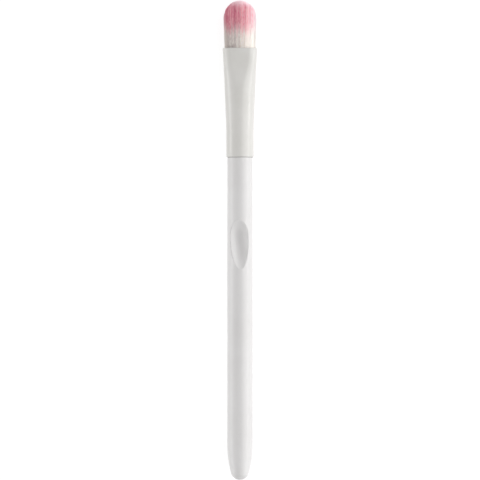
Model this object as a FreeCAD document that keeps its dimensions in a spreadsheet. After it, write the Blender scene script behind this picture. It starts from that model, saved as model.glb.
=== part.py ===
import FreeCAD, Part
import math
import os
import re
import Sketcher

# An eyeshadow brush lying on its back: the handle's tail at -X, the bristles at +X, the thumb rest and the
# flat of the ferrule facing up. Inside each body, X is measured from the end of the tail along the brush.

sizes = {
    # Handle
    "handle_length": 107.65,
    "barrel_diameter": 8.5,
    "neck_taper": 0.1,
    "nose_radius": 3.1,
    "nose_length": 11.4,
    # Tenon that the ferrule slides over, with grooves that key the glue
    "tenon_length": 8.0,
    "tenon_chamfer": 0.8,
    "glue_gap": 0.08,
    "key_groove_start": 1.8,
    "key_groove_pitch": 2.8,
    "key_groove_width": 1.0,
    "key_groove_depth": 0.25,
    # Thumb rest scooped out of the front of the handle, and the end of the straight barrel before it
    "rest_gap": 20.8,
    "rest_length": 16.6,
    "rest_lead": 2.4,
    "rest_run_in": 10.9,
    "rest_depth": 2.2,
    "rest_cross_radius": 5.8,
    "rest_overrun": 0.6,
    "rest_offset": 0.86,
    "rest_tilt_angle": 6.5,
    "rest_rim_radius": 0.4,
    # Ferrule: round socket, then pressed until its mouth is flat
    "ferrule_length": 36.4,
    "ferrule_wall": 0.5,
    "ferrule_step": 0.375,
    "socket_spare": 0.5,
    "mouth_flare": 2.4,
    "socket_crown_angle": 24.0,
    "mouth_crown_angle": 5.0,
    "rim_chamfer": 0.12,
    # Bristle tuft: root in the resin, bundle in the ferrule, fanned and rounded head
    "root_length": 14.0,
    "resin_skin": 0.5,
    "tuft_gap": 0.05,
    "tuft_length": 15.95,
    "tuft_fan": 0.45,
    "tuft_bulge": 0.38,
    "dome_length": 5.8,
    # Resin that holds the roots
    "plug_length": 9.5,
    "cup_depth": 4.0,
    "bond_gap": 0.02,
}
key_groove_count = 2
press_step_count = 11
press_growth_power = 1.15
plug_step_count = 4
cup_step_count = 2
bundle_step_count = 4
head_step_count = 5
dome_station_shares = (0.35, 0.6, 0.78, 0.9, 0.96, 1.0)
dome_roundness_share = 0.98

doc = FreeCAD.newDocument("eyeshadow_brush")
sheet = doc.addObject("Spreadsheet::Sheet", "Sizes")
for row, (alias, number) in enumerate(sizes.items(), start=1):
    sheet.set(f"A{row}", alias)
    sheet.set(f"B{row}", str(number))
    sheet.setAlias(f"B{row}", alias)
doc.recompute()


def value(text):
    return float(sheet.evalExpression(text))


def linked(text):
    return re.sub(r"[a-z_]+", lambda word: "Sizes." + word[0] if word[0] in sizes else word[0], text)


# Places along the brush and fits that several pieces share
brush_length = "(handle_length + ferrule_length + tuft_length)"
rest_start = "(handle_length - rest_gap - rest_length)"
tenon_end = "(handle_length + tenon_length)"
socket_end = "(handle_length + tenon_length + socket_spare)"
mouth_at = "(handle_length + ferrule_length)"
press_length = "(ferrule_length - tenon_length - socket_spare)"
neck_diameter = "(barrel_diameter - neck_taper)"
socket_diameter = "(barrel_diameter - neck_taper + 2 * ferrule_step)"
bore_radius = f"({socket_diameter} / 2 - ferrule_wall)"
tenon_radius = f"({bore_radius} - glue_gap)"

# Places in the pressed part of the ferrule, as shares of its length
root_share = f"(1 - root_length / {press_length})"
plug_top_share = f"(1 - (root_length - cup_depth) / {press_length})"
plug_base_share = f"(1 - (root_length - cup_depth + plug_length) / {press_length})"


# Bodies and sketches
def new_body(name):
    body = doc.addObject("PartDesign::Body", name)
    body.Label = name
    body.setExpression("Placement.Base.x", linked(f"-{brush_length} / 2"))
    body.setExpression("Placement.Base.z", linked(f"{socket_diameter} / 2"))
    return body


def new_sketch(body, name, plane, along="0"):
    sketch = body.newObject("Sketcher::SketchObject", name)
    support = next(feature for feature in body.Origin.OriginFeatures if feature.Role == plane)
    sketch.AttachmentSupport = [(support, "")]
    sketch.MapMode = "FlatFace"
    if along != "0":
        sketch.setExpression("AttachmentOffset.Base.z", linked(along))
    return sketch


def drive(sketch, text, kind, *where):
    index = sketch.addConstraint(Sketcher.Constraint(kind, *where, value(text)))
    sketch.setExpression(f"Constraints[{index}]", linked(text))


def place_point(sketch, geometry, end, x_text, y_text):
    if x_text == "0":
        sketch.addConstraint(Sketcher.Constraint("PointOnObject", geometry, end, -2))
    else:
        drive(sketch, x_text, "DistanceX", -1, 1, geometry, end)
    if y_text == "0":
        sketch.addConstraint(Sketcher.Constraint("PointOnObject", geometry, end, -1))
    else:
        drive(sketch, y_text, "DistanceY", -1, 1, geometry, end)


def point(x_text, y_text):
    return FreeCAD.Vector(value(x_text), value(y_text), 0)


def chain(sketch, corners):
    # Open run of straight lines through the corners, every corner driven by the sheet
    lines = []
    for start, end in zip(corners, corners[1:]):
        lines.append(sketch.addGeometry(Part.LineSegment(point(*start), point(*end))))
    for line, corner in zip(lines, corners):
        place_point(sketch, line, 1, *corner)
    for before, after in zip(lines, lines[1:]):
        sketch.addConstraint(Sketcher.Constraint("Coincident", before, 2, after, 1))
    return lines


def polygon(sketch, corners):
    lines = chain(sketch, corners + corners[:1])
    sketch.addConstraint(Sketcher.Constraint("Coincident", lines[-1], 2, lines[0], 1))


def four_arcs(sketch, corner_x, corner_y, end_radius, crown_radius):
    # Closed oval of two end arcs and two crown arcs that meet at mirrored corners
    x, y, end, crown = (value(text) for text in (corner_x, corner_y, end_radius, crown_radius))
    end_centre = x - math.sqrt(max(end ** 2 - y ** 2, 0))
    crown_centre = y - math.sqrt(max(crown ** 2 - x ** 2, 0))
    end_angle = math.atan2(y, x - end_centre)
    crown_angle = math.atan2(y - crown_centre, x)
    arcs = []
    for centre_x, centre_y, radius, start, stop in (
        (end_centre, 0, end, -end_angle, end_angle),
        (0, crown_centre, crown, crown_angle, math.pi - crown_angle),
        (-end_centre, 0, end, math.pi - end_angle, math.pi + end_angle),
        (0, -crown_centre, crown, math.pi + crown_angle, 2 * math.pi - crown_angle),
    ):
        ring = Part.Circle(FreeCAD.Vector(centre_x, centre_y, 0), FreeCAD.Vector(0, 0, 1), radius)
        arcs.append(sketch.addGeometry(Part.ArcOfCircle(ring, start, stop)))
    right, top, left, bottom = arcs
    for before, after in ((right, top), (top, left), (left, bottom), (bottom, right)):
        sketch.addConstraint(Sketcher.Constraint("Coincident", before, 2, after, 1))
    sketch.addConstraint(Sketcher.Constraint("Symmetric", top, 1, top, 2, -2))
    sketch.addConstraint(Sketcher.Constraint("Symmetric", bottom, 1, bottom, 2, -2))
    sketch.addConstraint(Sketcher.Constraint("Symmetric", right, 1, right, 2, -1))
    sketch.addConstraint(Sketcher.Constraint("Equal", right, left))
    sketch.addConstraint(Sketcher.Constraint("Equal", top, bottom))
    drive(sketch, end_radius, "Radius", right)
    drive(sketch, crown_radius, "Radius", top)
    place_point(sketch, top, 1, corner_x, corner_y)


def oval_section(body, name, along, end, reach, crown, inset="0"):
    # End arcs of one radius, their centres apart by twice the reach, run smoothly into flatter crown arcs
    sketch = new_sketch(body, name, "YZ_Plane", along)
    end_radius = f"({end} - {inset})"
    four_arcs(sketch, f"{reach} + {end_radius} * sin({crown})", f"{end_radius} * cos({crown})", end_radius,
              f"{end_radius} + {reach} / sin({crown})")
    return sketch


def pressed(share):
    # Pressing a tube keeps its girth: as it gets wider, its ends get tighter and its front flatter
    crown = f"(socket_crown_angle + {share} * (mouth_crown_angle - socket_crown_angle))"
    width = f"({socket_diameter} + {share} ^ {press_growth_power} * mouth_flare)"
    bend = f"(pi / 180 * {crown} / sin({crown}))"
    end = f"((pi * {socket_diameter} - 2 * {bend} * {width}) / (2 * pi - 4 * {bend}))"
    return end, f"({width} / 2 - {end})", crown


def tube_section(body, name, share, inset):
    return oval_section(body, name, f"{socket_end} + {share} * {press_length}", *pressed(share), inset)


def steps(count, first="0", last="1"):
    return [f"({first} + {number / count} * ({last} - {first}))" for number in range(count + 1)]


def tube_sections(body, name, shares, inset):
    return [tube_section(body, f"{name}_{number}", share, inset) for number, share in enumerate(shares)]


# Features
def loft(body, kind, name, sections):
    feature = body.newObject(f"PartDesign::{kind}", name)
    feature.Profile = (sections[0], [""])
    feature.Sections = [(section, [""]) for section in sections[1:]]
    feature.Ruled = True
    return feature


def turn(body, kind, name, sketch, axis="H_Axis"):
    feature = body.newObject(f"PartDesign::{kind}", name)
    feature.Profile = sketch
    feature.ReferenceAxis = (sketch, [axis])
    feature.Angle = 360
    return feature


# Handle
def key_groove_span(number):
    start = f"handle_length + key_groove_start + {number} * key_groove_pitch"
    return start, f"{start} + key_groove_width"


def make_handle():
    body = new_body("handle")

    # The profile hangs below the axis, which keeps the seam of the turned skin away from the thumb rest
    profile = new_sketch(body, "handle_profile", "XZ_Plane")
    upside_down = FreeCAD.Rotation(FreeCAD.Vector(1, 0, 0), 180)
    profile.AttachmentOffset = FreeCAD.Placement(FreeCAD.Vector(), upside_down)
    radius, length, nose = (value(text) for text in ("barrel_diameter / 2", "nose_length", "nose_radius"))
    flank = ((length - nose) ** 2 + radius ** 2 - nose ** 2) / (2 * (radius - nose))
    lean = math.atan2(flank - radius, nose - length)
    upright = FreeCAD.Vector(0, 0, 1)
    nose_circle = Part.Circle(FreeCAD.Vector(nose, 0, 0), upright, nose)
    flank_circle = Part.Circle(FreeCAD.Vector(length, radius - flank, 0), upright, flank)
    nose_arc = profile.addGeometry(Part.ArcOfCircle(nose_circle, lean, math.pi))
    flank_arc = profile.addGeometry(Part.ArcOfCircle(flank_circle, math.pi / 2, lean))
    outline = chain(profile, [
        ("nose_length", "barrel_diameter / 2"),
        (f"{rest_start} - rest_lead", "barrel_diameter / 2"),
        ("handle_length", f"{neck_diameter} / 2"),
        ("handle_length", tenon_radius),
        (f"{tenon_end} - tenon_chamfer", tenon_radius),
        (tenon_end, f"{tenon_radius} - tenon_chamfer"),
        (tenon_end, "0"),
        ("0", "0"),
    ])
    profile.addConstraint(Sketcher.Constraint("Coincident", outline[-1], 2, nose_arc, 2))
    profile.addConstraint(Sketcher.Constraint("Coincident", nose_arc, 2, -1, 1))
    profile.addConstraint(Sketcher.Constraint("PointOnObject", nose_arc, 3, -1))
    profile.addConstraint(Sketcher.Constraint("Tangent", flank_arc, 2, nose_arc, 1))
    profile.addConstraint(Sketcher.Constraint("Tangent", flank_arc, 1, outline[0], 1))
    drive(profile, "nose_radius", "Radius", nose_arc)
    turn(body, "Revolution", "turned_stick", profile)

    keys = new_sketch(body, "key_groove_profiles", "XZ_Plane")
    for number in range(key_groove_count):
        start, end = key_groove_span(number)
        floor = f"{tenon_radius} - key_groove_depth"
        polygon(keys, [(start, floor), (end, floor), (end, bore_radius), (start, bore_radius)])
    turn(body, "Groove", "key_grooves", keys)

    # The scoop turns a long shallow arc and a short steep arc about a line above the handle, so it is hollow
    # both ways: a gentle ramp from the tail side and a stop for the thumb on the ferrule side. The arcs are
    # drawn on the far side of that line, so the face that they leave in the handle has no seam.
    scoop = new_sketch(body, "thumb_rest_profile", "XZ_Plane")
    lean_back = FreeCAD.Rotation(FreeCAD.Vector(0, 1, 0), value("rest_tilt_angle"))
    scoop.AttachmentOffset = FreeCAD.Placement(FreeCAD.Vector(), lean_back)
    lead_in = "(rest_overrun * rest_run_in / rest_depth)"
    scoop.setExpression("AttachmentOffset.Base.x", linked(f"{rest_start} - {lead_in}"))
    scoop.setExpression("AttachmentOffset.Base.z", linked("rest_offset"))
    scoop.setExpression("AttachmentOffset.Rotation.Angle", linked("rest_tilt_angle"))
    deepest = f"({lead_in} + rest_run_in)"
    axis_height = "(barrel_diameter / 2 - rest_depth + rest_cross_radius)"
    crest = f"({axis_height} + rest_cross_radius)"
    drop = "(rest_depth + rest_overrun)"
    ramp_radius = "((rest_run_in ^ 2 + rest_depth ^ 2) / (2 * rest_depth))"
    stop_radius = "(((rest_length - rest_run_in) ^ 2 + rest_depth ^ 2) / (2 * rest_depth))"
    ramp_start = f"{deepest} - sqrt({drop} * (2 * {ramp_radius} - {drop}))"
    stop_end = f"{deepest} + sqrt({drop} * (2 * {stop_radius} - {drop}))"
    arcs = []
    for arc_radius, first, last in ((ramp_radius, deepest, ramp_start), (stop_radius, stop_end, deepest)):
        reach = value(arc_radius)
        centre = FreeCAD.Vector(value(deepest), value(crest) - reach, 0)
        angles = [math.acos((value(x) - centre.x) / reach) for x in (first, last)]
        arcs.append(scoop.addGeometry(Part.ArcOfCircle(Part.Circle(centre, upright, reach), *angles)))
    ramp, stop = arcs
    walls = chain(scoop, [
        (ramp_start, f"{crest} - {drop}"),
        (ramp_start, axis_height),
        (stop_end, axis_height),
        (stop_end, f"{crest} - {drop}"),
    ])
    place_point(scoop, ramp, 1, deepest, crest)
    scoop.addConstraint(Sketcher.Constraint("Coincident", ramp, 2, walls[0], 1))
    scoop.addConstraint(Sketcher.Constraint("Coincident", ramp, 1, stop, 2))
    place_point(scoop, stop, 1, stop_end, f"{crest} - {drop}")
    scoop.addConstraint(Sketcher.Constraint("Coincident", stop, 1, walls[-1], 2))
    drive(scoop, ramp_radius, "Radius", ramp)
    drive(scoop, stop_radius, "Radius", stop)
    axis_ends = point(ramp_start, axis_height), point(stop_end, axis_height)
    axis = scoop.addGeometry(Part.LineSegment(*axis_ends), True)
    scoop.addConstraint(Sketcher.Constraint("Coincident", axis, 1, walls[1], 1))
    scoop.addConstraint(Sketcher.Constraint("Coincident", axis, 2, walls[1], 2))
    rest = turn(body, "Groove", "thumb_rest", scoop, "Axis0")

    # The rim is the only edge that is neither straight nor round
    doc.recompute()
    rim = [f"Edge{number}" for number, edge in enumerate(rest.Shape.Edges, start=1)
           if not edge.Degenerated and edge.Curve.TypeId == "Part::GeomBSplineCurve"]
    fillet = body.newObject("PartDesign::Fillet", "thumb_rest_rim")
    fillet.Base = (rest, rim)
    fillet.setExpression("Radius", linked("rest_rim_radius"))
    return body


# Ferrule and everything that follows the inside of it
def make_ferrule():
    body = new_body("ferrule")
    socket = new_sketch(body, "socket_profile", "XZ_Plane")
    polygon(socket, [
        ("handle_length", bore_radius),
        ("handle_length", f"{socket_diameter} / 2 - rim_chamfer"),
        ("handle_length + rim_chamfer", f"{socket_diameter} / 2"),
        (socket_end, f"{socket_diameter} / 2"),
        (socket_end, bore_radius),
    ])
    turn(body, "Revolution", "socket", socket)
    shares = steps(press_step_count)
    skin = tube_sections(body, "skin", shares[:-1], "0")
    skin.append(tube_section(body, "skin_lip", f"(1 - rim_chamfer / {press_length})", "0"))
    skin.append(tube_section(body, "skin_mouth", "1", "rim_chamfer"))
    loft(body, "AdditiveLoft", "pressed_tube", skin)
    loft(body, "SubtractiveLoft", "bore", tube_sections(body, "bore", shares, "ferrule_wall"))
    return body


def make_tuft():
    body = new_body("bristle_tuft")
    bound = "(ferrule_wall + resin_skin)"
    loose = "(ferrule_wall + tuft_gap)"
    sections = tube_sections(body, "root", steps(cup_step_count, root_share, plug_top_share), bound)
    insets = steps(bundle_step_count, bound, loose)
    shares = steps(bundle_step_count, plug_top_share, "1")
    for number in range(1, bundle_step_count + 1):
        sections.append(tube_section(body, f"bundle_{number}", shares[number], insets[number]))

    # Above the mouth the bundle fans out, swells in the middle and ends in a dome
    end, reach, crown = pressed("1")
    for number in range(1, head_step_count + 1):
        rise = number / head_step_count
        swell = f"tuft_bulge * sin(180 * {rise})"
        along = f"{mouth_at} + {rise} * (tuft_length - dome_length)"
        full_end, fanned = f"({end} + {swell})", f"({reach} + {rise} * tuft_fan - {swell})"
        sections.append(oval_section(body, f"head_{number}", along, full_end, fanned, crown, loose))
    for number, station in enumerate(dome_station_shares):
        share = math.sqrt(1 - (station * dome_roundness_share) ** 2)
        along = f"{brush_length} - {1 - station} * dome_length"
        tip_end, tip_reach = f"({share} * ({end} - {loose}))", f"({share} * ({reach} + tuft_fan))"
        sections.append(oval_section(body, f"dome_{number}", along, tip_end, tip_reach, crown))
    loft(body, "AdditiveLoft", "filbert_tuft", sections)
    return body


def make_plug():
    body = new_body("root_epoxy_plug")
    cast = tube_sections(body, "cast", steps(plug_step_count, plug_base_share, plug_top_share),
                         "(ferrule_wall + bond_gap)")
    loft(body, "AdditiveLoft", "cast_in_bore", cast)
    cup = tube_sections(body, "cup", steps(cup_step_count, root_share, plug_top_share),
                        "(ferrule_wall + resin_skin - bond_gap)")
    loft(body, "SubtractiveLoft", "root_cup", cup)
    return body


def make_adhesive():
    body = new_body("tenon_adhesive")
    profile = new_sketch(body, "sleeve_profile", "XZ_Plane")
    far = f"{tenon_end} - tenon_chamfer"
    corners = [("handle_length", tenon_radius), ("handle_length", bore_radius), (far, bore_radius),
               (far, tenon_radius)]
    for number in reversed(range(key_groove_count)):
        start, end = key_groove_span(number)
        floor = f"{tenon_radius} - key_groove_depth"
        corners += [(end, tenon_radius), (end, floor), (start, floor), (start, tenon_radius)]
    polygon(profile, corners)
    turn(body, "Revolution", "glue_sleeve", profile)
    return body


bodies = [make_handle(), make_ferrule(), make_tuft(), make_plug(), make_adhesive()]
doc.recompute()

for item in doc.Objects:
    if {"Invalid", "Error"} & set(item.State):
        raise RuntimeError(f"{item.Name} failed: {item.State}")
for body in bodies:
    shape = body.Shape
    if shape.isNull() or not shape.isValid() or len(shape.Solids) != 1:
        raise RuntimeError(f"{body.Label} is not one valid solid")

os.makedirs("parts", exist_ok=True)
for body in bodies:
    box = body.Shape.optimalBoundingBox()
    print(f"{body.Label}: {body.Shape.Volume:.1f} mm3,", *(f"{side:.2f}" for side in (
        box.XLength, box.YLength, box.ZLength)))
    body.Shape.exportStep(f"parts/{body.Label}.step")
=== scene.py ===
import math

import bpy
import numpy as np
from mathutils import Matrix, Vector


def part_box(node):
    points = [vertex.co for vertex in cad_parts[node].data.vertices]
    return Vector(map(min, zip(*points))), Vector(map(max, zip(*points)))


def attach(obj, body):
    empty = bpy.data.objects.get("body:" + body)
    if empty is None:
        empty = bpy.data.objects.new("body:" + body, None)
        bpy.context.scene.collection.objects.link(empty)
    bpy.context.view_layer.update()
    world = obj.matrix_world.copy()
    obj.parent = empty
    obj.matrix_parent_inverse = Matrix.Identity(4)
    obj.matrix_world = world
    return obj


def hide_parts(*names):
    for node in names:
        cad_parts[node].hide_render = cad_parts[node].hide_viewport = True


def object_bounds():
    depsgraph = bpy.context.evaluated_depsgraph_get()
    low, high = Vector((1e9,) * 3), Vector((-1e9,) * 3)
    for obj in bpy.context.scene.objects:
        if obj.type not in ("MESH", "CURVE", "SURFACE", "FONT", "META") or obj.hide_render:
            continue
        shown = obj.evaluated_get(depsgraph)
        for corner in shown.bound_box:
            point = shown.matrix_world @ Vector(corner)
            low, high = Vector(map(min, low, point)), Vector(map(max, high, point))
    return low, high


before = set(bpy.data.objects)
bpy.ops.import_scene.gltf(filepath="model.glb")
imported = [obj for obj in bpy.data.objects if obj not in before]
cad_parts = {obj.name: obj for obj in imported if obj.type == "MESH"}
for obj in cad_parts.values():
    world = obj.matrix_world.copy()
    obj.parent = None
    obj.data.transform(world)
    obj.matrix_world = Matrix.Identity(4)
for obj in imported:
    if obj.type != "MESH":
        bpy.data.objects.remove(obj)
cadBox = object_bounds()
mm = 0.001

# The brush lies on its back along X, so the photo looks straight down with the bristles at the top
ferruleLow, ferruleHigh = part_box("ferrule")
axisHeight = (ferruleLow.z + ferruleHigh.z) / 2
mouthX = ferruleHigh.x        # where the bristles leave the ferrule


class Wire:
    # One socket of a node tree: sums and products on it add Math nodes, in shaders and geometry alike
    def __init__(self, tree, socket=None):
        self.tree = tree
        self.socket = socket

    def node(self, kind, settings=None, inputs=None, out=0):
        made = self.tree.nodes.new(kind)
        for name, value in (settings or {}).items():
            setattr(made, name, value)
        for name, value in (inputs or {}).items():
            if isinstance(value, Wire):
                self.tree.links.new(value.socket, made.inputs[name])
            else:
                made.inputs[name].default_value = value
        return Wire(self.tree, made.outputs[out])

    def math(self, operation, first, second=0.0):
        return self.node("ShaderNodeMath", {"operation": operation}, {0: first, 1: second})

    def __add__(self, other):
        return self.math("ADD", self, other)

    def __sub__(self, other):
        return self.math("SUBTRACT", self, other)

    def __rsub__(self, other):
        return self.math("SUBTRACT", other, self)

    def __mul__(self, other):
        return self.math("MULTIPLY", self, other)

    def __truediv__(self, other):
        return self.math("DIVIDE", self, other)

    def __rtruediv__(self, other):
        return self.math("DIVIDE", other, self)

    def __pow__(self, other):
        return self.math("POWER", self, other)

    __radd__ = __add__
    __rmul__ = __mul__

    def call(self, operation):
        return self.math(operation, self)

    def clamp(self, low=0.0, high=1.0):
        return self.math("MINIMUM", self.math("MAXIMUM", self, low), high)

    def smooth(self, low, high):
        return self.node("ShaderNodeMapRange", {"interpolation_type": "SMOOTHSTEP"},
                         {"Value": self, "From Min": low, "From Max": high})


def newShader(name):
    material = bpy.data.materials.new(name)
    material.use_nodes = True
    tree = material.node_tree
    return material, Wire(tree), tree.nodes["Principled BSDF"]


def feed(principled, wire, socket):
    wire.tree.links.new(wire.socket, principled.inputs[socket])


def mixColour(wire, factor, first, second):
    # Sockets 6 and 7 of a colour Mix are A and B, and output 2 is its colour
    return wire.node("ShaderNodeMix", {"data_type": "RGBA"}, {0: factor, 6: first, 7: second}, out=2)


def noise(wire, place, look, kind, **more):
    # Scale, detail and roughness come from the piece's dictionary
    return wire.node("ShaderNodeTexNoise", None, {
        "Vector": place, "Scale": look[kind + "Scale"], "Detail": look[kind + "Detail"],
        "Roughness": look[kind + "Roughness"], **more})


def relief(wire, height, look, kind):
    return wire.node("ShaderNodeBump", None, {
        "Strength": look[kind + "Strength"], "Distance": look[kind + "Depth"], "Height": height})


def newTree(name, shape, extra):
    # A geometry tree with one input for every size in the piece's dictionary
    tree = bpy.data.node_groups.new(name, "GeometryNodeTree")
    tree.interface.new_socket(name="Geometry", in_out="OUTPUT", socket_type="NodeSocketGeometry")
    kinds = {size: "Int" if isinstance(value, int) else "Float" for size, value in shape.items()}
    sockets = {}
    for size, kind in {**kinds, **extra}.items():
        sockets[size] = tree.interface.new_socket(name=size, in_out="INPUT", socket_type="NodeSocket" + kind)
    return tree, sockets, tree.nodes.new("NodeGroupInput"), tree.nodes.new("NodeGroupOutput")


def growMesh(name, tree, sockets, inputs):
    # The tree runs once on an empty object and leaves a plain mesh
    grower = bpy.data.objects.new(name, bpy.data.meshes.new(name))
    bpy.context.scene.collection.objects.link(grower)
    modifier = grower.modifiers.new("grow", "NODES")
    modifier.node_group = tree
    for size, value in inputs.items():
        modifier[sockets[size].identifier] = value
    mesh = bpy.data.meshes.new_from_object(grower.evaluated_get(bpy.context.evaluated_depsgraph_get()))
    bpy.data.objects.remove(grower)
    mesh.name = name
    made = bpy.data.objects.new(name, mesh)
    bpy.context.scene.collection.objects.link(made)
    print(name, "faces", len(mesh.polygons))
    return made


# Handle: satin moulded plastic
handleLook = {
    "white": (0.847, 0.836, 0.831, 1),
    "shade": (0.817, 0.804, 0.797, 1),
    "roughness": 0.38,
    "roughnessDrift": 0.10,
    "ior": 1.49,
    "cloudScale": 90.0,           # per metre
    "cloudDetail": 4.0,
    "cloudRoughness": 0.6,
    "cloudRange": (0.35, 0.75),
    "grainScale": 5200.0,
    "grainDetail": 2.0,
    "grainRoughness": 0.5,
    "grainDepth": 0.0012 * mm,
    "grainStrength": 0.4,
    # painted shade: colour of the dark line under the ferrule's rim
    "line": (0.2, 0.19, 0.185, 1),
    "shadeLineWidth": 0.3,             # mm
    "shadeLineDepth": 0.9,
    "shadeLineBreaks": 0.3,            # how far the line fades where the clouds are thin
    "shadeLineBreakRange": (0.2, 0.6),
    "shadeLineRoughness": 0.3,
}


def handlePlastic():
    look = handleLook
    material, wire, principled = newShader("handleSatinPlastic")
    place = wire.node("ShaderNodeTexCoord", out="Object")
    clouds = noise(wire, place, look, "cloud")
    grain = noise(wire, place, look, "grain")
    colour = mixColour(wire, clouds.smooth(*look["cloudRange"]), look["white"], look["shade"])
    # A painted shade line darkens the corner under the ferrule's rim, where the handle meets it
    spot = wire.node("ShaderNodeSeparateXYZ", None, {"Vector": place}, out="X")
    below = (ferruleLow.x - spot) / mm
    breaks = clouds.smooth(*look["shadeLineBreakRange"]) * look["shadeLineBreaks"] + (1 - look["shadeLineBreaks"])
    corner = below.smooth(look["shadeLineWidth"], 0.0) * breaks
    roughness = look["roughness"] + (clouds - 0.5) * look["roughnessDrift"] + corner * look["shadeLineRoughness"]
    feed(principled, mixColour(wire, corner * look["shadeLineDepth"], colour, look["line"]), "Base Color")
    feed(principled, roughness, "Roughness")
    feed(principled, relief(wire, grain, look, "grain"), "Normal")
    principled.inputs["IOR"].default_value = look["ior"]
    return material


# Ferrule: drawn tube, pressed from round to flat, under an off-white lacquer
ferruleShape = {
    "Tube Diameter": 9.15 * mm,
    "Wall": 0.5 * mm,
    "Rim Rounding": 0.1 * mm,
    "Socket Length": 8.5 * mm,
    "Flare": 2.4 * mm,
    "Flare Power": 1.15,
    "Flat Start Power": 6.0,      # the flats set in late
    "Flat Rate Power": 6.0,       # and then open quickly
    "Flat Width": 0.5,            # share of the mouth's width
    "Wall Steps": 72,
    "Rim Steps": 6,
    "End Steps": 8,
    "Shoulder Steps": 16,
    "Crown Steps": 3,
}
# Where each arc of a quarter section ends, measured from its widest point
sectionAngles = {"end": math.radians(30), "shoulder": math.radians(86), "crown": math.radians(90)}
weldDistance = 1e-7               # metres
ferruleLook = {
    "lacquer": (0.796, 0.783, 0.752, 1),
    "shade": (0.766, 0.752, 0.718, 1),
    "roughness": 0.36,
    "roughnessDrift": 0.12,
    "coat": 0.25,
    "coatRoughness": 0.2,
    "cloudScale": 140.0,          # per metre
    "cloudDetail": 3.0,
    "cloudRoughness": 0.55,
    "cloudRange": (0.35, 0.75),
    "peelScale": 1500.0,
    "peelDetail": 2.0,
    "peelRoughness": 0.45,
    "peelDepth": 0.0025 * mm,
    "peelStrength": 0.4,
    "lip": (0.66, 0.65, 0.62, 1),
    "lipWidth": 0.3,              # mm
    "lipWear": 0.6,
    "lipRange": (0.35, 0.6),
    "lipPolish": 0.1,
}


def ferruleLacquer():
    look = ferruleLook
    material, wire, principled = newShader("ferruleLacquer")
    place = wire.node("ShaderNodeTexCoord", out="Object")
    clouds = noise(wire, place, look, "cloud")
    peel = noise(wire, place, look, "peel")
    colour = mixColour(wire, clouds.smooth(*look["cloudRange"]), look["lacquer"], look["shade"])
    # The lacquer is rubbed thin along the lip of the mouth
    spot = wire.node("ShaderNodeSeparateXYZ", None, {"Vector": place}, out="X")
    lip = ((spot - mouthX) / mm).smooth(-look["lipWidth"], 0.0) * clouds.smooth(*look["lipRange"])
    roughness = look["roughness"] + (clouds - 0.5) * look["roughnessDrift"] - lip * look["lipPolish"]
    feed(principled, mixColour(wire, lip * look["lipWear"], colour, look["lip"]), "Base Color")
    feed(principled, roughness, "Roughness")
    feed(principled, relief(wire, peel, look, "peel"), "Normal")
    principled.inputs["Coat Weight"].default_value = look["coat"]
    principled.inputs["Coat Roughness"].default_value = look["coatRoughness"]
    return material


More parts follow.
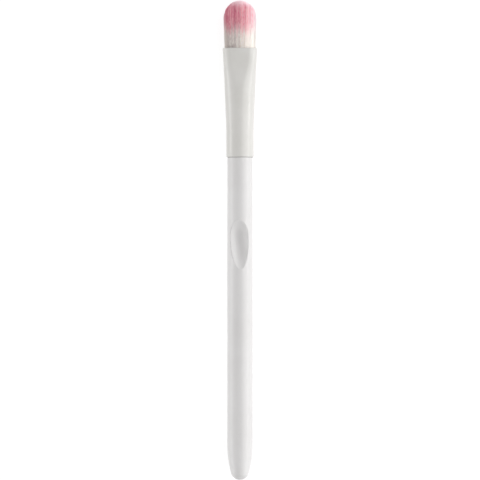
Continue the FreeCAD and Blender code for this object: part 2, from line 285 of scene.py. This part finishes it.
def ferruleTree():
    tree, sockets, groupIn, groupOut = newTree("pressedTube", ferruleShape, {
        "Low X": "Float", "High X": "Float", "Axis Height": "Float", "Material": "Material"})
    wire = Wire(tree)

    def given(name):
        return Wire(tree, groupIn.outputs[name])

    def leg(index, before, steps):
        return ((index - before) / steps).clamp()

    # The tube is one grid: rows go up the outside, over the mouth, down the inside and under the socket
    wallSteps, rimSteps = given("Wall Steps"), given("Rim Steps")
    quarterSteps = given("End Steps") + given("Shoulder Steps") + given("Crown Steps")
    rows, columns = (wallSteps + rimSteps) * 2 + 1, quarterSteps * 4 + 1
    grid = wire.node("GeometryNodeMeshGrid", None, {"Vertices X": rows, "Vertices Y": columns})
    index = wire.node("GeometryNodeInputIndex")
    row = (index / columns).call("FLOOR")
    column = index - row * columns
    outside, inside = leg(row, 0.0, wallSteps), leg(row, wallSteps + rimSteps, wallSteps)
    mouth, under = leg(row, wallSteps, rimSteps), leg(row, wallSteps * 2 + rimSteps, rimSteps)
    rim, length = given("Rim Rounding"), given("High X") - given("Low X")
    along = rim + (outside - inside) * (length - rim * 2)
    along = along + rim * ((mouth * math.pi).call("SINE") - (under * math.pi).call("SINE"))
    inset = given("Wall") / 2 * ((under * math.pi).call("COSINE") - (mouth * math.pi).call("COSINE"))

    # Pressing keeps the girth: the wider and flatter the front gets, the tighter the rest has to bend
    share = ((along - given("Socket Length")) / (length - given("Socket Length"))).clamp()
    tube = given("Tube Diameter")
    width = tube + given("Flare") * share ** given("Flare Power")
    flat = 1 - (1 - share ** given("Flat Start Power")) ** given("Flat Rate Power")
    end, shoulder, crown = sectionAngles["end"], sectionAngles["shoulder"], sectionAngles["crown"]
    flattest = given("Flat Width") * (tube + given("Flare")) / (2 * math.cos(shoulder))
    crownRadius = tube / 2 + flat * (flattest - tube / 2)
    girth = tube * (math.pi / 4) - crownRadius * (crown - shoulder)
    room = width / 2 - crownRadius * math.cos(shoulder)
    shoulderSpan, endSpan = math.cos(end) - math.cos(shoulder), 1 - math.cos(end)
    balance = (shoulder - end) * endSpan - end * shoulderSpan
    shoulderRadius = (girth * endSpan - room * end) / balance
    endRadius = (room * (shoulder - end) - girth * shoulderSpan) / balance

    # In each quarter of a section, the end arc runs into the shoulder arc and that into the flat crown
    fold = wire.math("PINGPONG", column, quarterSteps)
    endSteps, shoulderSteps, crownSteps = given("End Steps"), given("Shoulder Steps"), given("Crown Steps")
    endTurn = leg(fold, 0.0, endSteps) * end
    shoulderTurn = end + leg(fold, endSteps, shoulderSteps) * (shoulder - end)
    crownTurn = shoulder + leg(fold, endSteps + shoulderSteps, crownSteps) * (crown - shoulder)
    endBend, shoulderBend, crownBend = endRadius - inset, shoulderRadius - inset, crownRadius - inset
    side = width / 2 - endRadius + endBend * endTurn.call("COSINE")
    side = side + shoulderBend * (shoulderTurn.call("COSINE") - math.cos(end))
    side = side + crownBend * (crownTurn.call("COSINE") - math.cos(shoulder))
    face = endBend * endTurn.call("SINE") + shoulderBend * (shoulderTurn.call("SINE") - math.sin(end))
    face = face + crownBend * (crownTurn.call("SINE") - math.sin(shoulder))
    turn = column / quarterSteps * (math.pi / 2)
    place = wire.node("ShaderNodeCombineXYZ", None, {
        "X": given("Low X") + along,
        "Y": side * turn.call("COSINE").call("SIGN"),
        "Z": given("Axis Height") + face * turn.call("SINE").call("SIGN")})
    grid = wire.node("GeometryNodeSetPosition", None, {"Geometry": grid, "Position": place})
    grid = wire.node("GeometryNodeMergeByDistance", None, {"Geometry": grid, "Distance": weldDistance})
    grid = wire.node("GeometryNodeFlipFaces", None, {"Mesh": grid})
    grid = wire.node("GeometryNodeSetShadeSmooth", None, {"Geometry": grid})
    grid = wire.node("GeometryNodeRealizeInstances", None, {"Geometry": grid})
    grid = wire.node("GeometryNodeSetMaterial", None, {"Geometry": grid, "Material": given("Material")})
    tree.links.new(grid.socket, groupOut.inputs["Geometry"])
    return tree, sockets


# Bristles: tapered filaments, dipped in pink at their tips
tuftShape = {
    "Filaments": 3800,
    "Pieces": 2,
    "Rings": 10,
    "Sides": 3,
    "Radius": 0.064 * mm,
    "Tip Share": 0.3,
    "Mouth Width": 10.35 * mm,
    "Mouth Thickness": 4.0 * mm,
    "Root Depth": 2.5 * mm,
    "Root Squeeze": 0.17,         # how far the roots draw in to clear the ferrule's wall
    "Straight Length": 9.2 * mm,
    "Dome Length": 6.6 * mm,
    "Dome Power": 2.2,
    "Face Drop": 1.1 * mm,        # how much shorter the outer layers are cut
    "Fan": 0.22 * mm,
    "Bulge": 0.8 * mm,
    "Flatten": 0.9,               # how far the tuft thins towards its tip
    "Squareness": 3.2,
    "Locks Across": 17.0,
    "Locks Deep": 6.0,
    "Gather": 0.5,
    "Lock Lean": 0.2 * mm,
    "Wave": 0.09 * mm,
    "Length Drift": 1.3 * mm,
    "Drift Power": 4.0,           # few filaments are much shorter than their neighbours
    "Lock Scale": 2.0,            # how quickly the locks wander across the section
    "Lock Wander Across": 5.0,
    "Lock Wander Deep": 4.0,
    "Gather Power": 1.5,
    "Dome Floor": 0.0004,         # keeps the dome's root above zero
    "Thinning Start": 0.6,        # share of the straight length
    "Wave Scale": 40.0,
    "Wave Turns": 2.0,
    "Taper Start": 0.5,
    "Seed": 11,
}
tuftLook = {
    "pink": (0.985, 0.57, 0.615, 1),
    "deepPink": (0.76, 0.235, 0.335, 1),
    "ivory": (0.985, 0.945, 0.895, 1),
    "deepIvory": (0.72, 0.655, 0.63, 1),
    # painted highlight: the pale pink that the tips, outer edges and -Y side are lightened to
    "paleHighlight": (0.995, 0.85, 0.88, 1),
    "dipStart": 3.1,              # mm above the ferrule's mouth
    "dipEnd": 9.2,
    "filamentDrift": 2.4,
    "lockDrift": 3.0,
    "streakRate": 0.8,            # per mm along a filament
    "streakLocks": 37.0,          # keeps the patches of two locks apart
    "streakTints": 2.0,
    "streakDetail": 1.0,
    "lockWeight": 0.8,
    "tintWeight": 0.2,
    "patchWeight": 1.5,
    "streakRange": (0.2, 0.8),
    "paintedShadeSide": 0.25,             # painted shade: how much darker the colour is made on the +Y side, away from the main lamps
    "fringeRange": (13.0, 15.6),  # mm above the mouth
    "edgeRange": (0.8, 1.0),      # share of the way out from the middle
    # The ranges below run across the tuft, which has 1 at its +Y edge and -1 at the other
    "paleRange": (-0.1, -1.0),
    "paleTip": 0.8,
    "paleEdge": 0.5,
    "paleSide": 0.6,
    # painted highlight: ivory lightened at the outer edges and from the middle towards the -Y side
    "ivoryEdgeHighlight": 0.7,
    "midHighlight": 0.16,
    "midRange": (0.5, 0.0),
    # painted shade: colour of the roots just above the mouth
    "rootShadow": (0.38, 0.31, 0.30, 1),
    "rootShadeHeight": 1.5,          # mm
    "rootShadeDepth": 0.4,
    "rootShadeInner": (0.1, 0.5),
    "rootShadeOuter": (0.95, 0.7),
    "passedOn": 0.11,             # painted glow for light handed on by the neighbours, most on the side of the broad lamp
    "passedRight": 0.19,
    "passedTip": 0.08,
    "passedRange": (0.25, -0.8),
    "openRange": (-1.0, -0.86),
    "roughness": 0.5,
    "roughnessDrift": 0.2,
    "sheen": 0.3,
    "sheenRoughness": 0.4,
    "sheenTint": (1.0, 0.92, 0.92, 1),
}


def bristleFibre():
    look = tuftLook
    material, wire, principled = newShader("bristleFibre")

    def stored(name):
        return wire.node("ShaderNodeAttribute", {"attribute_name": name}, out="Fac")

    rise, tint, lock, across = [stored(name) for name in ("rise", "tint", "lock", "across")]
    height = rise + (tint - 0.5) * look["filamentDrift"] + (lock - 0.5) * look["lockDrift"]
    along = wire.node("ShaderNodeCombineXYZ", None, {
        "X": lock * look["streakLocks"], "Y": rise * look["streakRate"], "Z": tint * look["streakTints"]})
    patch = wire.node("ShaderNodeTexNoise", None,
                      {"Vector": along, "Scale": 1.0, "Detail": look["streakDetail"]})
    streak = lock * look["lockWeight"] + tint * look["tintWeight"] + (patch - 0.5) * look["patchWeight"]
    # Painted shade: the colour darkens towards the +Y side, away from the main lamps
    streak = (streak - across * look["paintedShadeSide"]).smooth(*look["streakRange"])
    tipped = rise.smooth(*look["fringeRange"])
    outer = across.call("ABSOLUTE").smooth(*look["edgeRange"])
    # Painted highlight: the pink is lightened towards the tips, the outer edges and the -Y side that faces
    # the lamps
    paintedHighlight = tipped * look["paleTip"] + outer * look["paleEdge"]
    paintedHighlight = (paintedHighlight + across.smooth(*look["paleRange"]) * look["paleSide"]).clamp()
    pink = mixColour(wire, streak, look["deepPink"], look["pink"])
    pink = mixColour(wire, paintedHighlight, pink, look["paleHighlight"])
    # Painted highlight: the ivory is lightened at the outer edges and from the middle towards the -Y side
    bright = streak + outer * look["ivoryEdgeHighlight"] + across.smooth(*look["midRange"]) * look["midHighlight"]
    ivory = mixColour(wire, bright.clamp(), look["deepIvory"], look["ivory"])
    # Painted shade darkens the roots just above the mouth, mostly on the +Y side
    rootShade = across.smooth(*look["rootShadeInner"]) * across.smooth(*look["rootShadeOuter"])
    rootShade = rise.smooth(look["rootShadeHeight"], 0.0) * rootShade * look["rootShadeDepth"]
    ivory = mixColour(wire, rootShade, ivory, look["rootShadow"])
    colour = mixColour(wire, height.smooth(look["dipStart"], look["dipEnd"]), ivory, pink)
    feed(principled, colour, "Base Color")
    # Painted light: an emission glow in the fibres' own colour stands in for light going through such thin
    # fibres from one to the next; the outermost ones face the lamp and get no glow
    lit = look["passedOn"] + look["passedRight"] * across.smooth(*look["passedRange"])
    lit = (lit + look["passedTip"] * tipped) * across.smooth(*look["openRange"])
    feed(principled, mixColour(wire, lit, (0, 0, 0, 1), colour), "Emission Color")
    principled.inputs["Emission Strength"].default_value = 1.0
    feed(principled, look["roughness"] + (tint - 0.5) * look["roughnessDrift"], "Roughness")
    # Their sides shine where they are seen at a slant
    principled.inputs["Sheen Weight"].default_value = look["sheen"]
    principled.inputs["Sheen Roughness"].default_value = look["sheenRoughness"]
    principled.inputs["Sheen Tint"].default_value = look["sheenTint"]
    return material


def tuftTree():
    tree, sockets, groupIn, groupOut = newTree("bristleBundle", tuftShape, {
        "Piece": "Int", "Mouth X": "Float", "Axis Height": "Float", "Material": "Material"})
    wire = Wire(tree)

    def given(name):
        return Wire(tree, groupIn.outputs[name])

    def attribute(name):
        return wire.node("GeometryNodeInputNamedAttribute", {"data_type": "FLOAT"},
                         {"Name": name}, out="Attribute")

    def keep(geometry, name, value):
        return wire.node("GeometryNodeStoreNamedAttribute", {"data_type": "FLOAT", "domain": "POINT"},
                         {"Geometry": geometry, "Name": name, "Value": value})

    def random(offset):
        # Sockets 2 and 3 are the lowest and highest number, and output 1 is the number drawn
        return wire.node("FunctionNodeRandomValue", {"data_type": "FLOAT"},
                         {2: 0.0, 3: 1.0, "Seed": given("Seed") + offset}, out=1)

    def vector(x, y, z):
        return wire.node("ShaderNodeCombineXYZ", None, {"X": x, "Y": y, "Z": z})

    def parts(whole):
        split = wire.node("ShaderNodeSeparateXYZ", None, {"Vector": whole}).socket.node
        return [Wire(tree, socket) for socket in split.outputs]

    def flow(x, y, z):
        # Three smooth noises between 0 and 1
        return parts(wire.node("ShaderNodeTexNoise", None, {
            "Vector": vector(x, y, z), "Scale": 1.0, "Detail": 1.0}, out="Color"))

    # Filaments sit on a sunflower spiral, pushed out from a disc to the squarer section of the mouth
    number = wire.node("GeometryNodeInputIndex") * given("Pieces") + given("Piece")
    spread = ((number + 0.5) / given("Filaments")).call("SQRT")
    angle = number * (math.pi * (3 - math.sqrt(5)))
    cosine, sine = angle.call("COSINE"), angle.call("SINE")
    square = given("Squareness")
    push = (cosine.call("ABSOLUTE") ** square + sine.call("ABSOLUTE") ** square) ** (-1 / square)
    points = wire.node("GeometryNodePoints", None, {"Count": given("Filaments") / given("Pieces")})
    points = keep(points, "side", spread * cosine * push)
    points = keep(points, "face", spread * sine * push)
    points = keep(points, "tint", random(1))
    points = keep(points, "cut", random(2) ** given("Drift Power") * given("Length Drift"))

    line = wire.node("GeometryNodeCurvePrimitiveLine", None, {"End": (0.0, 0.0, 1.0)})
    line = wire.node("GeometryNodeResampleCurve", None, {"Curve": line, "Count": given("Rings")})
    strands = wire.node("GeometryNodeInstanceOnPoints", None, {"Points": points, "Instance": line})
    strands = wire.node("GeometryNodeRealizeInstances", None, {"Geometry": strands})

    # Neighbours cling together in locks, more and more towards their tips
    side, face = attribute("side"), attribute("face")
    drift = flow(side * given("Lock Scale"), face * given("Lock Scale"), given("Seed"))
    column = side * given("Locks Across") + drift[0] * given("Lock Wander Across")
    layer = face * given("Locks Deep") + drift[1] * given("Lock Wander Deep")
    columnAt, layerAt = column.call("FLOOR"), layer.call("FLOOR")
    lock = wire.node("ShaderNodeTexWhiteNoise", {"noise_dimensions": "3D"},
                     {"Vector": vector(columnAt, layerAt, given("Seed"))}, out="Color")
    lean = parts(lock)
    toColumn = (columnAt + 0.5 - column) / given("Locks Across")
    toLayer = (layerAt + 0.5 - layer) / given("Locks Deep")

    # Each filament runs from inside the ferrule up to the dome that the tuft is cut to
    share = wire.node("GeometryNodeSplineParameter", out="Factor")
    power = given("Dome Power")
    straight, dome = given("Straight Length"), given("Dome Length")
    domed = (1 - side.call("ABSOLUTE") ** power).clamp(given("Dome Floor")) ** (1 / power)
    reach = straight + dome * domed
    reach = reach - attribute("cut") - given("Face Drop") * face * face * lean[2]
    rise = share * (reach + given("Root Depth")) - given("Root Depth")
    climb = (rise / straight).clamp()
    free = (rise / (straight + dome)).clamp()
    thinFrom = straight * given("Thinning Start")
    crown = ((rise - thinFrom) / (straight + dome - thinFrom)).clamp()
    thinned = (1 - (crown * given("Flatten")) ** 2).call("SQRT")
    depth = (rise / given("Root Depth")).clamp(-1.0, 0.0)
    squeezed = 1 - depth * depth * given("Root Squeeze")
    halfWidth = (given("Mouth Width") / 2 + given("Fan") * climb) * squeezed
    halfThickness = given("Mouth Thickness") / 2 + given("Bulge") * (climb * math.pi).call("SINE")
    halfThickness = halfThickness * thinned * squeezed
    wave = flow(side * given("Wave Scale"), face * given("Wave Scale"),
                free * given("Wave Turns") + given("Seed"))
    cling = free ** given("Gather Power") * given("Gather")
    # Noises less 0.5 reach 0.5 to each side, so sway and tilt are twice as wide as their sizes
    sway = free * given("Wave") * 2
    tilt = free * free * given("Lock Lean") * 2
    strands = keep(strands, "rise", rise / mm)
    strands = keep(strands, "lock", lean[2])
    strands = keep(strands, "across", side)
    strands = wire.node("GeometryNodeSetPosition", None, {"Geometry": strands, "Position": vector(
        given("Mouth X") + rise,
        (side + toColumn * cling) * halfWidth + (wave[0] - 0.5) * sway + (lean[0] - 0.5) * tilt,
        given("Axis Height") + (face + toLayer * cling) * halfThickness
        + (wave[1] - 0.5) * sway + (lean[1] - 0.5) * tilt)})
    taper = 1 - (1 - given("Tip Share")) * share.smooth(given("Taper Start"), 1.0)
    strands = wire.node("GeometryNodeSetCurveRadius", None, {"Curve": strands, "Radius": taper})
    ring = wire.node("GeometryNodeCurvePrimitiveCircle", None,
                     {"Resolution": given("Sides"), "Radius": given("Radius")})
    tubes = wire.node("GeometryNodeCurveToMesh", None,
                      {"Curve": strands, "Profile Curve": ring, "Fill Caps": True})
    tubes = wire.node("GeometryNodeRealizeInstances", None, {"Geometry": tubes})
    tubes = wire.node("GeometryNodeSetMaterial", None, {"Geometry": tubes, "Material": given("Material")})
    tree.links.new(tubes.socket, groupOut.inputs["Geometry"])
    return tree, sockets


mapMargin = {"across": 0.1, "up": 0.05}     # share of a filament's cell in the baking map


def unwrapFilaments(mesh, rings, sides):
    # Every filament gets its own cell of the map, so that baked colours stay sharp along it
    count = len(mesh.vertices) // (rings * sides)
    columns = math.ceil(math.sqrt(count))
    corners = np.empty(len(mesh.loops), np.int32)
    mesh.loops.foreach_get("vertex_index", corners)
    filament, rest = np.divmod(corners, rings * sides)
    ring, corner = np.divmod(rest, sides)
    row, column = np.divmod(filament, columns)

    def within(cell, margin, step, steps):
        return (cell + margin + (1 - 2 * margin) * step / (steps - 1)) / columns

    across = within(column, mapMargin["across"], corner, sides)
    up = within(row, mapMargin["up"], ring, rings)
    layer = mesh.uv_layers.new(name="OFBake")
    layer.uv.foreach_set("vector", np.stack([across, up], 1).astype(np.float32).ravel())


def makeTuft():
    tree, sockets = tuftTree()
    material = bristleFibre()
    made = []
    for piece in range(tuftShape["Pieces"]):
        place = {"Piece": piece, "Mouth X": mouthX, "Axis Height": axisHeight, "Material": material}
        bristles = growMesh(f"bristles_{piece + 1}", tree, sockets, {**tuftShape, **place})
        unwrapFilaments(bristles.data, tuftShape["Rings"], tuftShape["Sides"])
        made.append(bristles)
    return made


# Hidden glue: amber resin round the filament roots and a pale sleeve on the tenon
epoxyLook = {
    "clear": (0.80, 0.70, 0.46, 1),
    "cloudy": (0.70, 0.58, 0.34, 1),
    "roughness": 0.14,
    "roughnessDrift": 0.15,
    "swirlScale": 420.0,          # per metre
    "swirlDetail": 3.0,
    "swirlRoughness": 0.5,
    "swirlDistortion": 1.2,
    "swirlRange": (0.3, 0.7),
    "bubbleScale": 2600.0,
    "bubbleRange": (0.1, 0.35),
    "bubbleDepth": 0.02 * mm,
    "bubbleStrength": 0.5,
}
sleeveLook = {
    **epoxyLook,
    "clear": (0.86, 0.83, 0.73, 1),
    "cloudy": (0.78, 0.74, 0.62, 1),
    "roughness": 0.55,
    "swirlScale": 600.0,
    "bubbleScale": 3200.0,
    "bubbleDepth": 0.012 * mm,
}


def curedGlue(name, look):
    material, wire, principled = newShader(name)
    place = wire.node("ShaderNodeTexCoord", out="Object")
    swirl = noise(wire, place, look, "swirl", Distortion=look["swirlDistortion"])
    cells = wire.node("ShaderNodeTexVoronoi", None, {"Vector": place, "Scale": look["bubbleScale"]})
    colour = mixColour(wire, swirl.smooth(*look["swirlRange"]), look["clear"], look["cloudy"])
    feed(principled, colour, "Base Color")
    feed(principled, look["roughness"] + (swirl - 0.5) * look["roughnessDrift"], "Roughness")
    feed(principled, relief(wire, cells.smooth(*look["bubbleRange"]), look, "bubble"), "Normal")
    return material


def dressNode(name, material):
    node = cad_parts[name]
    node.data.materials.clear()
    node.data.materials.append(material)


dressNode("handle", handlePlastic())
dressNode("root_epoxy_plug", curedGlue("rootEpoxy", epoxyLook))
dressNode("tenon_adhesive", curedGlue("tenonGlue", sleeveLook))
print("handle and glue dressed")

tubePlace = {"Low X": ferruleLow.x, "High X": mouthX, "Axis Height": axisHeight, "Material": ferruleLacquer()}
ferrule = growMesh("pressed_ferrule", *ferruleTree(), {**ferruleShape, **tubePlace})
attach(ferrule, "root")
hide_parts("ferrule")
print("ferrule pressed")

for bristles in makeTuft():
    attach(bristles, "root")
    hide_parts("bristle_tuft")
print("tuft grown")


# Studio: white floor, a broad soft light and a strip on the right, a low strip on the left
studio = {
    "floorSize": 6.0,
    "floorDiffuse": 0.8,
    "floorGlow": 0.86,
    "floorShown": 0.3,
    "worldLevel": 0.33,
    "lampDistance": 0.9,
    "lampLength": 1.8,
    # Angle from straight up towards the right of the photo in degrees, width in metres, brightness
    "lamps": {
        "softRight": (37.5, 0.745, 1.06),
        "stripRight": (75.0, 0.157, 5.0),
        "stripLeft": (-84.5, 0.157, 6.05),
    },
}


def seenDirectly(wire):
    # 1 for what the camera, a reflection or a see-through surface looks at, 0 for light falling on the brush
    rays = [wire.node("ShaderNodeLightPath", out=name)
            for name in ("Is Camera Ray", "Is Glossy Ray", "Is Transmission Ray")]
    return (rays[0] + rays[1] + rays[2]).clamp()


def makeFloor():
    mesh = bpy.data.meshes.new("floor")
    half = studio["floorSize"] / 2
    corners = [(-half, -half, 0), (half, -half, 0), (half, half, 0), (-half, half, 0)]
    mesh.from_pydata(corners, [], [range(len(corners))])
    floor = bpy.data.objects.new("floor", mesh)
    bpy.context.scene.collection.objects.link(floor)
    material = bpy.data.materials.new("floorWhite")
    material.use_nodes = True
    tree = material.node_tree
    tree.nodes.remove(tree.nodes["Principled BSDF"])
    wire = Wire(tree)
    matte = wire.node("ShaderNodeBsdfDiffuse", None, {"Color": (studio["floorDiffuse"],) * 3 + (1,)})
    shown = wire.node("ShaderNodeBsdfDiffuse", None, {"Color": (studio["floorShown"],) * 3 + (1,)})
    glow = wire.node("ShaderNodeEmission", None, {"Strength": studio["floorGlow"]})
    lit = wire.node("ShaderNodeAddShader", None, {0: shown, 1: glow})
    mixed = wire.node("ShaderNodeMixShader", None, {0: seenDirectly(wire), 1: matte, 2: lit})
    tree.links.new(mixed.socket, tree.nodes["Material Output"].inputs["Surface"])
    mesh.materials.append(material)


def makeWorld():
    world = bpy.data.worlds.new("studio")
    world.use_nodes = True
    bpy.context.scene.world = world
    wire = Wire(world.node_tree)
    level = studio["worldLevel"] + seenDirectly(wire) * (1 - studio["worldLevel"])
    background = world.node_tree.nodes["Background"]
    background.inputs["Color"].default_value = (1, 1, 1, 1)
    world.node_tree.links.new(level.socket, background.inputs["Strength"])


def makeLamp(name, angle, width, level):
    data = bpy.data.lights.new(name, "AREA")
    data.shape = "RECTANGLE"
    data.size, data.size_y = studio["lampLength"], width
    data.energy = level * math.pi * width * studio["lampLength"]
    lamp = bpy.data.objects.new(name, data)
    bpy.context.scene.collection.objects.link(lamp)
    # Right in the photo is -Y; turning about X keeps the lamp's long side along the brush
    lean = math.radians(angle)
    distance = studio["lampDistance"]
    lamp.location = (0, -distance * math.sin(lean), axisHeight + distance * math.cos(lean))
    lamp.rotation_euler = (lean, 0, 0)


def makeCamera():
    photo = {"pixels": 480, "topPixel": 0.3, "tailPixel": 479.9, "lens": 180.0, "sensor": 36.0}
    brushLength = cadBox[1][0] - cadBox[0][0]
    scale = brushLength / (photo["tailPixel"] - photo["topPixel"])      # metres per pixel at the brush's axis
    data = bpy.data.cameras.new("photoCamera")
    data.lens, data.sensor_width = photo["lens"], photo["sensor"]
    camera = bpy.data.objects.new("photoCamera", data)
    bpy.context.scene.collection.objects.link(camera)
    distance = photo["lens"] / photo["sensor"] * photo["pixels"] * scale
    middle = cadBox[0][0] + (photo["tailPixel"] - photo["pixels"] / 2) * scale
    camera.location = (middle, 0, axisHeight + distance)
    camera.rotation_euler = (0, 0, -math.pi / 2)
    bpy.context.scene.camera = camera


makeFloor()
makeWorld()
for name, (angle, width, level) in studio["lamps"].items():
    makeLamp(name, angle, width, level)
makeCamera()
bpy.context.scene.view_settings.view_transform = "Standard"
print("studio set")
